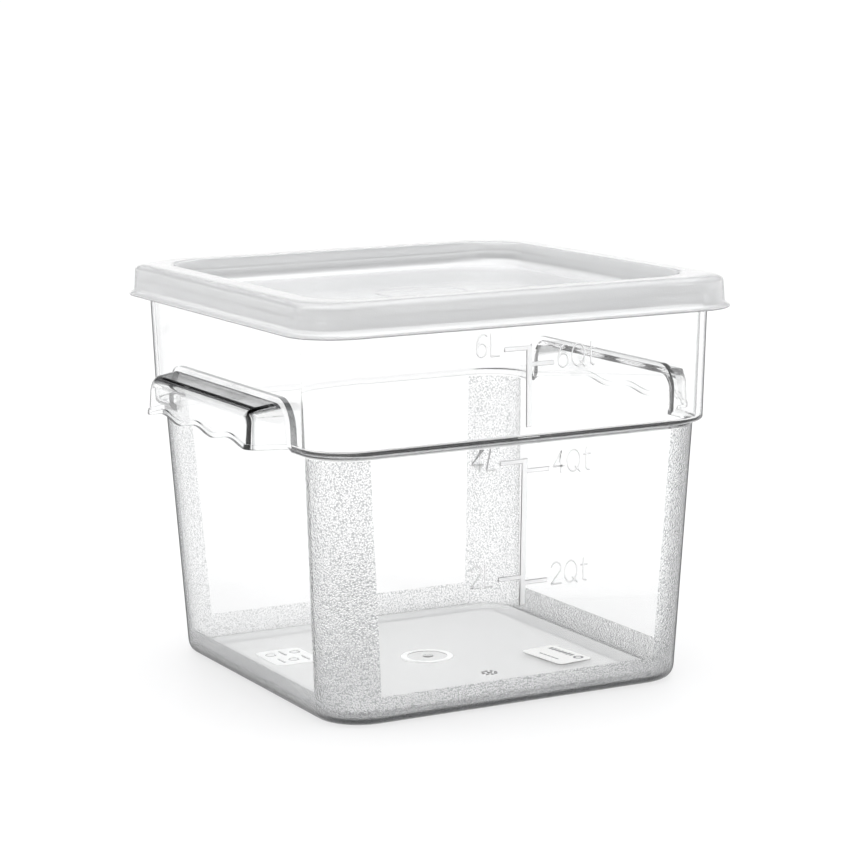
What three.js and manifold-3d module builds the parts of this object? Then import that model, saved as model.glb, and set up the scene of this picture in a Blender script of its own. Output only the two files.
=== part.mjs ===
// Square clear food storage container with moulded grab handles and a soft lift-off lid.
//
// Millimetres, +Z up. The origin is the centre of the footprint, on the surface the
// container stands on. +X and -X are the two handle sides, and -Y is the front wall,
// which carries the graduation marks.

import * as THREE from 'three';
import { mergeVertices } from 'three/addons/utils/BufferGeometryUtils.js';
import Module from 'manifold-3d';

const wasm = await Module();
wasm.setup();

// ---- Container: half widths are measured on the outer face of a wall ----
const WALL = 3.0;
const FLOOR = 3.0;
const RIM_TOP = 192.2;
const LOWER_HALF = 93.96;       // lower wall, extended down to the base plane
const LOWER_DRAFT = 0.0495;     // growth of the half width per mm of height
const UPPER_HALF = 100.36;      // upper wall, extended down to the base plane
const UPPER_DRAFT = 0.0247;
const CORNER_RADIUS = 23;       // outer corner radius at the base plane
const CORNER_DRAFT = -0.01;     // change of that radius per mm of height
const FOOT_HALF = 87.6;         // flat the container stands on
const FOOT_FILLET = 6.4;        // height of the rounding above that flat
const LEDGE_BOTTOM = 123.2;     // the wall steps out between these two heights
const LEDGE_TOP = 127.4;
const LEDGE_RISE = 1.2;         // the inside of the step lies this much higher
const BEAD_BOTTOM = 188.2;      // outward bead round the mouth, which the lid grips
const BEAD_OUT = 1.8;
const BEAD_ROUND = 1.0;
const RECESS_HALF = 78;         // shallow recess in the underside of the floor
const RECESS_RADIUS = 5;
const RECESS_DEPTH = 0.9;

// ---- Grab handles: a hood over a finger pocket on each X side ----
const HOOD_WALL = 2.6;
const HOOD_REACH = 118.0;       // outer face of the hood, measured from the centre
const HOOD_ROOT = 95;           // the hood solid starts here, inside the wall
const HOOD_ROOT_HALF = 67;      // half length where the hood leaves the wall
const HOOD_TIP_HALF = 60.5;     // half length at its outer face
const HOOD_ROOT_TOP = 145.6;
const HOOD_TIP_TOP = 143.6;
const HOOD_ROOT_RADIUS = 10;    // corners of its arch at the wall
const HOOD_TIP_RADIUS = 5;      // corners of its arch at the outer face
const HOOD_ROUND = 4.5;         // rounding between its top, its ends and its outer face
const HOOD_BOTTOM = 118;        // the hood solid starts here, below its trimmed edge
const HOOD_LEAN = 0.08;         // the outer face leans out by this much per mm of drop
const STEP_MARGIN = 2.4;        // the step inside the wall is this much bigger than the arch
const SCALLOP_HEIGHT = 127.0;   // mean height of the scalloped lower edge
const SCALLOP_DEPTH = 1.3;      // half the height of its waves
const SCALLOP_PITCH = 38.6;     // length of a wave, one finger or two
const SCALLOP_HALF = 57.9;      // the waves end here and the edge runs level
const LIP_HEIGHT = 2.4;         // band along the lower edge
const LIP_OUT = 0.9;

// ---- Graduation marks: raised bars on the front wall ----
const MARK_RAISE = 0.4;
const SCALE_BAR_WIDTH = 3;
const SCALE_BARS = [[48, 117], [132, 169.3]];
const TICK_THICKNESS = 2.1;
const TICK_REACH = 13;
const LITRE_TICKS = [62.5, 116.8, 169.3];
const QUART_TICKS = [59.7, 112.2, 161.7];

// ---- Lid: half widths are measured on its outer side ----
const LID_BOTTOM = 179.4;
const LID_TOP = 194.9;
const LID_FLARE_HALF = 113.4;
const LID_SKIRT_HALF = 110.8;
const LID_CORNER_RADIUS = 22;   // outer corner radius of the skirt at LID_SKIRT_HALF
const LID_SHOULDER_HALF = 104.4;
const LID_SHOULDER_SPREAD = 1.1; // above the skirt its corner radius grows by this per mm inward
const LID_INSIDE_SPREAD = 0.4;  // the same inside the skirt
const LID_RIM_INNER_HALF = 97.3;
const LID_RECESS_HALF = 95.2;
const LID_RECESS_RADIUS = 24;   // corner radius of the recess at the rim
const LID_RECESS_SPREAD = 1.5;  // that radius grows by this much per mm further in
const LID_PANEL_HALF = 88;
const LID_PANEL_TOP = 183;
const LID_SHEET = 2.0;
const LID_CHANNEL_TOP = 192.6;
const LID_CHANNEL_HALF = 108.6; // skirt inside, beside the container's bead
const LID_RIDGE_HALF = 107.4;   // ridge inside the skirt, just under the container's bead
const CLEARANCE = 0.3;

// ---- Label stuck on the floor inside ----
const LABEL_WIDTH = 20;
const LABEL_LENGTH = 33;
const LABEL_THICKNESS = 0.3;
const LABEL_RADIUS = 3;
const LABEL_X = 55.5;
const LABEL_Y = -31;
const LABEL_TURN = THREE.MathUtils.degToRad(6);

const ARC_DIVISIONS = 4;        // half the number of straight steps in each corner
const CURVE_DIVISIONS = 4;      // straight steps in each rounding of a profile

// ---- Solids ----

function solid(geometry) {
  const bare = geometry.clone();
  bare.deleteAttribute('normal');
  bare.deleteAttribute('uv');
  const merged = mergeVertices(bare, 1e-4);
  return new wasm.Manifold(new wasm.Mesh({
    numProp: 3,
    vertProperties: new Float32Array(merged.attributes.position.array),
    triVerts: new Uint32Array(merged.index.array),
  }));
}

function namedMesh(name, manifold, colour, roughness, opacity = 1) {
  const { vertProperties, triVerts } = manifold.getMesh();
  const geometry = new THREE.BufferGeometry();
  geometry.setAttribute('position', new THREE.BufferAttribute(vertProperties, 3));
  geometry.setIndex(new THREE.BufferAttribute(triVerts, 1));
  geometry.computeVertexNormals();
  const material = new THREE.MeshStandardMaterial({
    color: colour,
    roughness,
    metalness: 0,
    transparent: opacity < 1,
    opacity,
  });
  const mesh = new THREE.Mesh(geometry, material);
  mesh.name = name;
  return mesh;
}

// Closed solid through a stack of convex rings with the same number of points each.
// Seen against the stacking direction the rings turn anticlockwise.
function loft(rings) {
  const count = rings[0].length;
  const points = rings.flat();
  const index = [];
  for (let k = 0; k < rings.length - 1; k++) {
    for (let i = 0; i < count; i++) {
      const a = k * count + i;
      const b = k * count + (i + 1) % count;
      index.push(a, b, b + count, a, b + count, a + count);
    }
  }
  const last = (rings.length - 1) * count;
  for (let i = 1; i < count - 1; i++) {
    index.push(0, i + 1, i);
    index.push(last, last + i, last + i + 1);
  }
  const geometry = new THREE.BufferGeometry().setFromPoints(points);
  geometry.setIndex(index);
  return solid(geometry);
}

function box(low, high) {
  const size = new THREE.Vector3().subVectors(high, low);
  const geometry = new THREE.BoxGeometry(size.x, size.y, size.z);
  geometry.translate(...new THREE.Vector3().addVectors(low, high).multiplyScalar(0.5));
  return solid(geometry);
}

// Square with rounded corners, level at height z.
function squareRing(half, radius, z) {
  const centre = half - radius;
  const outline = new THREE.Path();
  outline.absarc(centre, centre, radius, 0, Math.PI / 2);
  outline.absarc(-centre, centre, radius, Math.PI / 2, Math.PI);
  outline.absarc(-centre, -centre, radius, Math.PI, Math.PI * 1.5);
  outline.absarc(centre, -centre, radius, Math.PI * 1.5, Math.PI * 2);
  return outline.getPoints(ARC_DIVISIONS).map((p) => new THREE.Vector3(p.x, p.y, z));
}

// Square solid whose profile is a path of (half width, height).
function squareLoft(profile, radiusAt) {
  const points = profile.getPoints(CURVE_DIVISIONS);
  return loft(points.map((p) => squareRing(p.x, radiusAt(p.x, p.y), p.y)));
}

// ---- Container body ----

const lowerHalf = (z) => LOWER_HALF + LOWER_DRAFT * z;
const upperHalf = (z) => UPPER_HALF + UPPER_DRAFT * z;

// Corner radius that keeps every corner on the same centre line as the outer wall.
const cornerRadius = (inset) => (half, z) => {
  const pulledIn = Math.max(0, lowerHalf(z) - inset - half);
  const wall = z < (LEDGE_BOTTOM + LEDGE_TOP) / 2 ? lowerHalf(z) : upperHalf(z);
  const pushedOut = z < RIM_TOP / 2 ? 0 : Math.max(0, half + inset - wall);
  return CORNER_RADIUS + CORNER_DRAFT * z - inset - pulledIn + pushedOut;
};

// The S-shaped step from the lower wall out to the upper wall.
function ledge(profile, inset, rise) {
  const low = LEDGE_BOTTOM + rise;
  const high = LEDGE_TOP + rise;
  const swing = (high - low) / 2;
  profile.lineTo(lowerHalf(low) - inset, low);
  profile.bezierCurveTo(
    lowerHalf(low) - inset, low + swing,
    upperHalf(high) - inset, high - swing,
    upperHalf(high) - inset, high,
  );
}

// Outer shape of the body, swollen by a small amount for raised marks.
function bodyOutside(swell) {
  const profile = new THREE.Path();
  const mouth = upperHalf(RIM_TOP);
  profile.moveTo(FOOT_HALF + swell, 0);
  profile.quadraticCurveTo(lowerHalf(0) + swell, 0, lowerHalf(FOOT_FILLET) + swell, FOOT_FILLET);
  ledge(profile, -swell, 0);
  profile.lineTo(upperHalf(BEAD_BOTTOM) + swell, BEAD_BOTTOM);
  profile.quadraticCurveTo(mouth + BEAD_OUT, BEAD_BOTTOM, mouth + BEAD_OUT, BEAD_BOTTOM + BEAD_ROUND);
  profile.lineTo(mouth + BEAD_OUT, RIM_TOP - BEAD_ROUND);
  profile.quadraticCurveTo(mouth + BEAD_OUT, RIM_TOP, mouth + BEAD_OUT - BEAD_ROUND, RIM_TOP);
  return squareLoft(profile, cornerRadius(-swell));
}

function bodyCavity() {
  const profile = new THREE.Path();
  const fillet = FOOT_FILLET - FLOOR / 2;
  profile.moveTo(lowerHalf(FLOOR) - WALL - fillet, FLOOR);
  profile.quadraticCurveTo(
    lowerHalf(FLOOR) - WALL, FLOOR,
    lowerHalf(FLOOR + fillet) - WALL, FLOOR + fillet,
  );
  ledge(profile, WALL, LEDGE_RISE);
  profile.lineTo(upperHalf(RIM_TOP) - WALL, RIM_TOP);
  profile.lineTo(upperHalf(RIM_TOP) - WALL, RIM_TOP + WALL);
  return squareLoft(profile, cornerRadius(WALL));
}

// The lower wall's faces carried on up behind the handles.
function lowerWallBlock(inset) {
  const top = HOOD_ROOT_TOP + 2 * STEP_MARGIN + WALL;
  const profile = new THREE.Path();
  profile.moveTo(lowerHalf(FOOT_FILLET) - inset, FOOT_FILLET);
  profile.lineTo(lowerHalf(top) - inset, top);
  return squareLoft(profile, cornerRadius(inset));
}

// Ring of an upright arch with two rounded top corners, in the plane X = x.
// Its points lean out along X by a fraction of their drop below the top.
function archRing(x, half, top, radius, lean) {
  const outline = new THREE.Path();
  outline.moveTo(-half, HOOD_BOTTOM);
  outline.lineTo(half, HOOD_BOTTOM);
  outline.absarc(half - radius, top - radius, radius, 0, Math.PI / 2);
  outline.absarc(-half + radius, top - radius, radius, Math.PI / 2, Math.PI);
  return outline.getPoints(ARC_DIVISIONS).map(
    (p) => new THREE.Vector3(x + lean * (top - p.y), p.x, p.y),
  );
}

// Hood on the +X side. A positive inset gives the finger pocket inside it.
function hoodSolid(inset) {
  const rings = [];
  const round = Math.max(HOOD_ROUND - inset, 1);
  const reach = HOOD_REACH - inset;
  const wallAt = upperHalf(HOOD_ROOT_TOP);
  const straight = (x, shrink) => {
    const t = Math.max(0, (x - wallAt) / (HOOD_REACH - wallAt));
    const half = THREE.MathUtils.lerp(HOOD_ROOT_HALF, HOOD_TIP_HALF, t) - inset - shrink;
    const top = THREE.MathUtils.lerp(HOOD_ROOT_TOP, HOOD_TIP_TOP, t) - inset - shrink;
    const radius = THREE.MathUtils.lerp(HOOD_ROOT_RADIUS, HOOD_TIP_RADIUS, t) - inset;
    rings.push(archRing(x, half, top, Math.max(radius, 1.5), HOOD_LEAN * t));
  };
  straight(HOOD_ROOT, 0);
  straight(wallAt, 0);
  for (let i = 0; i <= CURVE_DIVISIONS; i++) {
    const angle = (Math.PI / 2) * (i / CURVE_DIVISIONS);
    straight(reach - round * (1 - Math.sin(angle)), round * (1 - Math.cos(angle)));
  }
  return loft(rings);
}

// Everything above the scalloped edge, or the band that follows it.
function scallopSlab(bottomOffset, top) {
  const waves = [];
  const steps = 48;
  for (let i = 0; i <= steps; i++) {
    const y = THREE.MathUtils.lerp(-SCALLOP_HALF, SCALLOP_HALF, i / steps);
    const wave = SCALLOP_DEPTH * Math.cos((2 * Math.PI * y) / SCALLOP_PITCH);
    waves.push(new THREE.Vector2(y, SCALLOP_HEIGHT + wave + bottomOffset));
  }
  const level = waves[0].y;
  const reach = HOOD_ROOT_HALF + WALL;
  const bottom = [new THREE.Vector2(-reach, level), ...waves, new THREE.Vector2(reach, level)];
  const lid = top === null
    ? bottom.map((p) => new THREE.Vector2(p.x, p.y + LIP_HEIGHT)).reverse()
    : [new THREE.Vector2(reach, top), new THREE.Vector2(-reach, top)];
  const shape = new THREE.Shape([...bottom, ...lid]);
  const geometry = new THREE.ExtrudeGeometry(shape, { depth: HOOD_REACH, bevelEnabled: false });
  // The shape's x, y and the extrusion become the part's Y, Z and X.
  geometry.applyMatrix4(new THREE.Matrix4().makeBasis(
    new THREE.Vector3(0, 1, 0),
    new THREE.Vector3(0, 0, 1),
    new THREE.Vector3(1, 0, 0),
  ));
  geometry.translate(HOOD_ROOT, 0, 0);
  return solid(geometry);
}

function handle() {
  const hood = hoodSolid(0).intersect(scallopSlab(0, HOOD_ROOT_TOP + WALL));
  const lip = hoodSolid(-LIP_OUT).intersect(scallopSlab(0, null));
  return hood.add(lip);
}

// Block as big as the stepped-in part of the wall behind a handle.
function stepBlock() {
  const half = HOOD_ROOT_HALF + STEP_MARGIN;
  const top = HOOD_ROOT_TOP + STEP_MARGIN;
  const radius = HOOD_ROOT_RADIUS + STEP_MARGIN;
  return loft([
    archRing(HOOD_ROOT - 2 * WALL, half, top, radius, 0),
    archRing(HOOD_REACH, half, top, radius, 0),
  ]);
}

const SIDES = [0, 180];

function raisedMarks() {
  const half = SCALE_BAR_WIDTH / 2;
  const bars = SCALE_BARS.map(([low, high]) => [-half, half, low, high]);
  for (const z of LITRE_TICKS) {
    bars.push([-TICK_REACH, half, z - TICK_THICKNESS, z]);
  }
  for (const z of QUART_TICKS) {
    bars.push([-half, TICK_REACH, z - TICK_THICKNESS, z]);
  }
  let marks = null;
  for (const [left, right, low, high] of bars) {
    const slab = box(
      new THREE.Vector3(left, -UPPER_HALF - 10, low),
      new THREE.Vector3(right, -LOWER_HALF + WALL, high),
    );
    marks = marks ? marks.add(slab) : slab;
  }
  return bodyOutside(MARK_RAISE).intersect(marks);
}

function containerBody() {
  let outside = bodyOutside(0);
  let cavity = bodyCavity();
  const behind = lowerWallBlock(0);
  const pocket = hoodSolid(HOOD_WALL).subtract(behind);
  const step = stepBlock().subtract(lowerWallBlock(WALL));
  for (const turn of SIDES) {
    const spin = [0, 0, turn];
    outside = outside.add(handle().rotate(spin));
    outside = outside.subtract(pocket.rotate(spin));
    cavity = cavity.subtract(step.rotate(spin));
  }
  const recess = loft([
    squareRing(RECESS_HALF, RECESS_RADIUS, -1),
    squareRing(RECESS_HALF, RECESS_RADIUS, RECESS_DEPTH),
  ]);
  return outside.add(raisedMarks()).subtract(cavity).subtract(recess);
}

// ---- Lid ----

const lidOutsideRadius = (half) => {
  const inward = LID_SKIRT_HALF - half;
  return LID_CORNER_RADIUS + (inward > 0 ? inward * LID_SHOULDER_SPREAD : -inward);
};
const lidInsideRadius = (half) => LID_CORNER_RADIUS + (LID_SKIRT_HALF - half) * LID_INSIDE_SPREAD;
const recessRadius = (half) => LID_RECESS_RADIUS + (LID_RIM_INNER_HALF - half) * LID_RECESS_SPREAD;

function lidOutside() {
  const profile = new THREE.Path();
  profile.moveTo(LID_FLARE_HALF - 0.5, LID_BOTTOM);
  profile.lineTo(LID_FLARE_HALF, LID_BOTTOM + 0.5);
  profile.lineTo(LID_FLARE_HALF, LID_BOTTOM + 1.1);
  profile.lineTo(LID_SKIRT_HALF + 1.2, LID_BOTTOM + 1.9);
  profile.quadraticCurveTo(LID_SKIRT_HALF, LID_BOTTOM + 2.2, LID_SKIRT_HALF, LID_BOTTOM + 4.6);
  profile.lineTo(LID_SKIRT_HALF - 0.3, LID_TOP - 3.1);
  profile.quadraticCurveTo(
    LID_SKIRT_HALF - 0.6, LID_TOP - 0.4,
    LID_SHOULDER_HALF + 2.1, LID_TOP - 0.15,
  );
  profile.lineTo(LID_SHOULDER_HALF, LID_TOP);
  return squareLoft(profile, lidOutsideRadius);
}

// Hollow in the top. Grown by the sheet thickness it is the tray's underside.
function lidTray(grow, top) {
  const profile = new THREE.Path();
  const floor = LID_PANEL_TOP - grow;
  profile.moveTo(LID_PANEL_HALF, floor);
  profile.quadraticCurveTo(LID_RECESS_HALF + grow, floor, LID_RECESS_HALF + grow, floor + 5);
  profile.lineTo(LID_RIM_INNER_HALF - 1 + grow, LID_TOP - 1.2);
  if (grow === 0) {
    profile.quadraticCurveTo(LID_RIM_INNER_HALF - 1, LID_TOP, LID_RIM_INNER_HALF + 0.3, LID_TOP);
  }
  profile.lineTo(profile.currentPoint.x, top);
  return squareLoft(profile, (half) => recessRadius(half) + 2 * grow);
}

function lidSkirtInside() {
  const profile = new THREE.Path();
  profile.moveTo(LID_FLARE_HALF - 1.6, LID_BOTTOM - 1);
  profile.lineTo(LID_FLARE_HALF - 1.6, LID_BOTTOM);
  profile.quadraticCurveTo(
    LID_CHANNEL_HALF + 0.3, LID_BOTTOM + 0.6,
    LID_CHANNEL_HALF, LID_BOTTOM + 3.6,
  );
  profile.lineTo(LID_RIDGE_HALF, BEAD_BOTTOM - 2.2);
  profile.lineTo(LID_RIDGE_HALF, BEAD_BOTTOM - 1);
  profile.lineTo(LID_CHANNEL_HALF, BEAD_BOTTOM + 0.4);
  profile.lineTo(LID_CHANNEL_HALF, RIM_TOP - BEAD_ROUND);
  profile.quadraticCurveTo(LID_CHANNEL_HALF, LID_CHANNEL_TOP, LID_CHANNEL_HALF - 1, LID_CHANNEL_TOP);
  return squareLoft(profile, lidInsideRadius);
}

function lidBody() {
  const channel = lidSkirtInside().subtract(lidTray(LID_SHEET, LID_TOP));
  return lidOutside().subtract(lidTray(0, LID_TOP + 5)).subtract(channel);
}

// ---- Label ----

function labelBody() {
  const across = LABEL_WIDTH / 2;
  const along = LABEL_LENGTH / 2;
  const shape = new THREE.Shape();
  shape.absarc(across - LABEL_RADIUS, along - LABEL_RADIUS, LABEL_RADIUS, 0, Math.PI / 2);
  shape.absarc(LABEL_RADIUS - across, along - LABEL_RADIUS, LABEL_RADIUS, Math.PI / 2, Math.PI);
  shape.absarc(LABEL_RADIUS - across, LABEL_RADIUS - along, LABEL_RADIUS, Math.PI, Math.PI * 1.5);
  shape.absarc(across - LABEL_RADIUS, LABEL_RADIUS - along, LABEL_RADIUS, Math.PI * 1.5, Math.PI * 2);
  const geometry = new THREE.ExtrudeGeometry(shape, {
    depth: LABEL_THICKNESS,
    bevelEnabled: false,
    curveSegments: ARC_DIVISIONS,
  });
  geometry.rotateZ(LABEL_TURN);
  geometry.translate(LABEL_X, LABEL_Y, FLOOR + CLEARANCE);
  return solid(geometry);
}

const storageContainer = new THREE.Group();
storageContainer.add(
  namedMesh('container_body', containerBody(), 0xf2f6f7, 0.08, 0.35),
  namedMesh('lid', lidBody(), 0xe4e7e9, 0.4, 0.75),
  namedMesh('label', labelBody(), 0xf7f7f5, 0.7),
);

export default storageContainer;
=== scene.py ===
"""Looks for a square clear food storage container with moulded handles and a milky lid.

The CAD model fixes the size and the place of every piece. This script rebuilds the two
mouldings as fine smooth meshes, adds the moulded details, and gives every surface a
procedural material. Lengths are in millimetres until a mesh is made, then in metres.
"""
import math

import bmesh
import bpy
from mathutils import Matrix, Vector


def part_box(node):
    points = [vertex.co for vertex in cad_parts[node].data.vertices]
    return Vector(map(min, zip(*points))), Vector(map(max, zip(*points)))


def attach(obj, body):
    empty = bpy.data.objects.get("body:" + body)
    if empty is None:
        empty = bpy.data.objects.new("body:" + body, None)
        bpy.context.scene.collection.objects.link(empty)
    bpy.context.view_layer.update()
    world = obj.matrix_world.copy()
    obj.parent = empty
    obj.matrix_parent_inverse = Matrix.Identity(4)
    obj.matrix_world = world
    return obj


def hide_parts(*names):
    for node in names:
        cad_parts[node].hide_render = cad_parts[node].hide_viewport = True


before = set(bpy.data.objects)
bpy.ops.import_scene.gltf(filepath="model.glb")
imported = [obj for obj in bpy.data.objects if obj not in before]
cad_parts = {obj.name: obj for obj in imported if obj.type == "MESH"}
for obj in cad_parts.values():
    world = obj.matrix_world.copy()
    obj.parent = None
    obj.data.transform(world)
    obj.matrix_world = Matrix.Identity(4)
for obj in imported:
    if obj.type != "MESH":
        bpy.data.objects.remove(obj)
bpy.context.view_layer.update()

MM = 0.001


def node_box_mm(node):
    low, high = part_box(node)
    return low / MM, high / MM


BODY_LOW, BODY_HIGH = node_box_mm("container_body")
LID_LOW, LID_HIGH = node_box_mm("lid")
LABEL_LOW, LABEL_HIGH = node_box_mm("label")

# ---- Driving dimensions, in millimetres, as in the CAD model ----

WALL = 3.0
FLOOR = 3.0
RIM_TOP = BODY_HIGH.z
LOWER_HALF = 93.96
LOWER_DRAFT = 0.0495
UPPER_HALF = 100.36
UPPER_DRAFT = 0.0247
CORNER_RADIUS = 23.0
CORNER_DRAFT = -0.01
FOOT_HALF = 87.6
FOOT_FILLET = 6.4
LEDGE_BOTTOM = 123.2
LEDGE_TOP = 127.4
LEDGE_RISE = 1.2
BEAD_BOTTOM = RIM_TOP - 4.0
BEAD_OUT = 1.8
BEAD_ROUND = 1.0
STIPPLE_TOP = 13.8
RECESS_HALF = 78.0
RECESS_RADIUS = 5.0
RECESS_DEPTH = 0.9

HOOD_WALL = 2.6
HOOD_REACH = 118.0
HOOD_ROOT = 95.0
HOOD_ROOT_HALF = 67.0
HOOD_TIP_HALF = 60.5
HOOD_ROOT_TOP = 145.6
HOOD_TIP_TOP = 143.6
HOOD_ROOT_RADIUS = 10.0
HOOD_TIP_RADIUS = 5.0
HOOD_ROUND = 4.5
HOOD_BOTTOM = 118.0
HOOD_LEAN = 0.08
STEP_MARGIN = 2.4
SCALLOP_HEIGHT = 127.0
SCALLOP_DEPTH = 1.3
SCALLOP_PITCH = 38.6
SCALLOP_HALF = 57.9
LIP_HEIGHT = 2.4
LIP_OUT = 0.9

MARK_RAISE = 0.4
SCALE_BAR_WIDTH = 3.0
SCALE_BARS = ((48.0, 117.0), (132.0, 169.3))
TICK_THICKNESS = 2.1
TICK_REACH = 13.0
LITRE_TICKS = {2: 62.5, 4: 116.8, 6: 169.3}
QUART_TICKS = {2: 59.7, 4: 112.2, 6: 161.7}

LID_BOTTOM = LID_LOW.z
LID_TOP = LID_HIGH.z
LID_FLARE_HALF = LID_HIGH.x
LID_SKIRT_HALF = 110.8
LID_CORNER_RADIUS = 22.0
LID_SHOULDER_HALF = 104.4
LID_SHOULDER_SPREAD = 1.1
LID_INSIDE_SPREAD = 0.4
LID_RIM_INNER_HALF = 97.3
LID_RECESS_HALF = 95.2
LID_RECESS_RADIUS = 24.0
LID_RECESS_SPREAD = 1.5
LID_PANEL_HALF = 88.0
LID_PANEL_TOP = 183.0
LID_SHEET = 2.0
LID_CHANNEL_TOP = 192.6
LID_EMBOSS_RADIUS = 22.0
LID_CHANNEL_HALF = 108.6
LID_RIDGE_HALF = 107.4

# ---- Camera, at the viewing angle of a product shot ----

CAMERA_AT = Vector((-0.6104, -1.1748, 0.3400))
CAMERA_AIM = Vector((0.0016, -0.0042, 0.1146))
CAMERA_ROLL = math.radians(-0.69)
CAMERA_LENS = 115.0
CAMERA_SENSOR = 36.0

ARC_STEPS = 20
CURVE_STEPS = 9

# Finishes of the container's faces, kept as material slots while the mesh is built. Every slot
# holds the same clear plastic. FINISHES says how strongly each finish sets the face attributes
# that the plastic's nodes read.
FINISH_COUNT = 5
CLEAR, STIPPLED, RAISED, PALE, PANEL = range(FINISH_COUNT)
FINISHES = {
    "stipple": {STIPPLED: 1.0},
    "frost": {RAISED: 1.0, PANEL: 0.35},
    # pale is painted lightness rather than a finish: faces are made mostly opaque so the lamp
    # lights them white.
    "pale": {PALE: 1.0, PANEL: 0.35},
}


# ---- Small geometry helpers ----

def lerp(a, b, t):
    return a + (b - a) * t


def quadratic(start, control, end, steps=CURVE_STEPS):
    """Points after start on a quadratic curve."""
    points = []
    for k in range(1, steps + 1):
        t = k / steps
        s = 1 - t
        points.append(tuple(
            s * s * a + 2 * s * t * b + t * t * c
            for a, b, c in zip(start, control, end)
        ))
    return points


def cubic(start, first, second, end, steps=2 * CURVE_STEPS):
    """Points after start on a cubic curve."""
    points = []
    for k in range(1, steps + 1):
        t = k / steps
        s = 1 - t
        points.append(tuple(
            s ** 3 * a + 3 * s * s * t * b + 3 * s * t * t * c + t ** 3 * d
            for a, b, c, d in zip(start, first, second, end)
        ))
    return points


def square_ring(half, radius, z):
    """Points of a square with rounded corners, anticlockwise seen from above."""
    centre = half - radius
    ring = []
    for corner in range(4):
        turn = corner * math.pi / 2
        sx, sy = ((1, 1), (-1, 1), (-1, -1), (1, -1))[corner]
        for k in range(ARC_STEPS + 1):
            angle = turn + (math.pi / 2) * k / ARC_STEPS
            ring.append(Vector((
                sx * centre + radius * math.cos(angle),
                sy * centre + radius * math.sin(angle),
                z,
            )))
    return ring


def in_corner(segment):
    """True for a ring segment on a rounded corner, false for a straight side."""
    return segment % (ARC_STEPS + 1) < ARC_STEPS


def new_object(name, vertices_mm, faces, slots=None, materials=()):
    mesh = bpy.data.meshes.new(name)
    mesh.from_pydata([Vector(v) * MM for v in vertices_mm], [], faces)
    for material in materials:
        mesh.materials.append(material)
    if slots:
        mesh.polygons.foreach_set("material_index", slots)
    mesh.update()
    obj = bpy.data.objects.new(name, mesh)
    bpy.context.scene.collection.objects.link(obj)
    return obj


def loft(name, rings, materials, slot_of=lambda band, segment: 0):
    """Closed object through a stack of convex rings."""
    count = len(rings[0])
    vertices = [point for ring in rings for point in ring]
    faces, slots = [], []
    for band in range(len(rings) - 1):
        for i in range(count):
            a = band * count + i
            b = band * count + (i + 1) % count
            faces.append((a, b, b + count, a + count))
            slots.append(slot_of(band, i))
    last = (len(rings) - 1) * count
    faces.append(tuple(reversed(range(count))))
    slots.append(slot_of(0, 0))
    faces.append(tuple(range(last, last + count)))
    slots.append(slot_of(len(rings) - 2, 0))
    return new_object(name, vertices, faces, slots, materials)


def square_loft(name, profile, radius_at, materials, slot_of=lambda band, segment: 0):
    rings = [square_ring(half, radius_at(half, z), z) for half, z in profile]
    return loft(name, rings, materials, slot_of)


def combine(target, other, operation):
    """Boolean of two closed objects; other is used up."""
    modifier = target.modifiers.new("combine", "BOOLEAN")
    modifier.solver = "MANIFOLD"
    modifier.operation = operation
    modifier.object = other
    graph = bpy.context.evaluated_depsgraph_get()
    result = bpy.data.meshes.new_from_object(target.evaluated_get(graph))
    target.modifiers.remove(modifier)
    target.data = result
    bpy.data.objects.remove(other)
    return target


def turned(obj, angle):
    """A copy of obj turned about the vertical axis."""
    copy = obj.copy()
    copy.data = obj.data.copy()
    copy.data.transform(Matrix.Rotation(angle, 4, "Z"))
    bpy.context.scene.collection.objects.link(copy)
    return copy


def smooth(obj, sharp_angle=math.radians(32)):
    """Smooth shading that keeps flat walls flat and real edges crisp."""
    mesh = obj.data
    mesh.polygons.foreach_set("use_smooth", [True] * len(mesh.polygons))
    work = bmesh.new()
    work.from_mesh(mesh)
    for edge in work.edges:
        faces = edge.link_faces
        crisp = len(faces) != 2 or edge.calc_face_angle(0.0) > sharp_angle
        edge.smooth = not crisp
    work.to_mesh(mesh)
    work.free()
    weighted = obj.modifiers.new("flat_walls", "WEIGHTED_NORMAL")
    weighted.mode = "FACE_AREA"
    weighted.weight = 100
    weighted.keep_sharp = True
    return obj


# ---- Materials ----

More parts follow.
